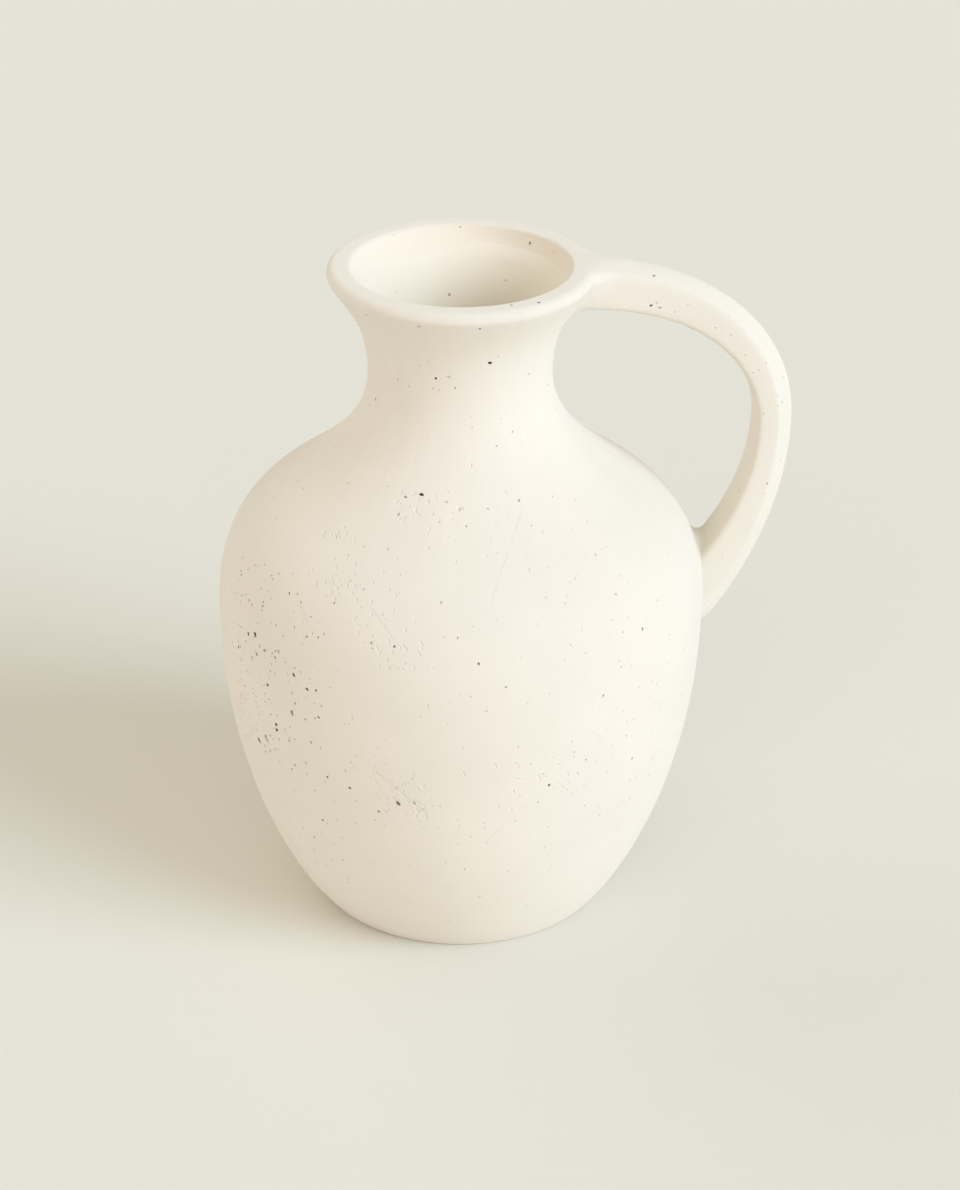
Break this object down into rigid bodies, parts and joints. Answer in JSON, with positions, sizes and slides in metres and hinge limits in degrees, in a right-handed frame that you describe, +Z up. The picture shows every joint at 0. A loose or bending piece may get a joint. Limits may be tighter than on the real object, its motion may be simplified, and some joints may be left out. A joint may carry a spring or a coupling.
{
  "type": "handled vase",
  "caption": "Cream earthenware vase with a full belly, drawn-in neck, flared lip and a strap handle from lip to belly, glazed inside; it stands on a flat base.",
  "frame": {"origin": "centre of the resting face under the base, on the axis of the pot", "axes": "+Z up along the axis of the pot, +X from the axis towards the handle"},
  "size_m": [0.236, 0.2, 0.28],
  "materials": {
    "earthenware": "matt fired clay with pits and tool marks",
    "inside_glaze": "soft satin glaze"
  },
  "bodies": {
    "root": {"base_slab": "earthenware", "lower_wall": "earthenware", "belly_wall": "earthenware", "shoulder_wall": "earthenware", "neck_collar": "earthenware", "lip_ring": "earthenware", "strap_handle": "earthenware", "handle_root_bed": "earthenware", "handle_foot_bed": "earthenware", "inner_glaze": "inside_glaze"}
  },
  "joints": []
}
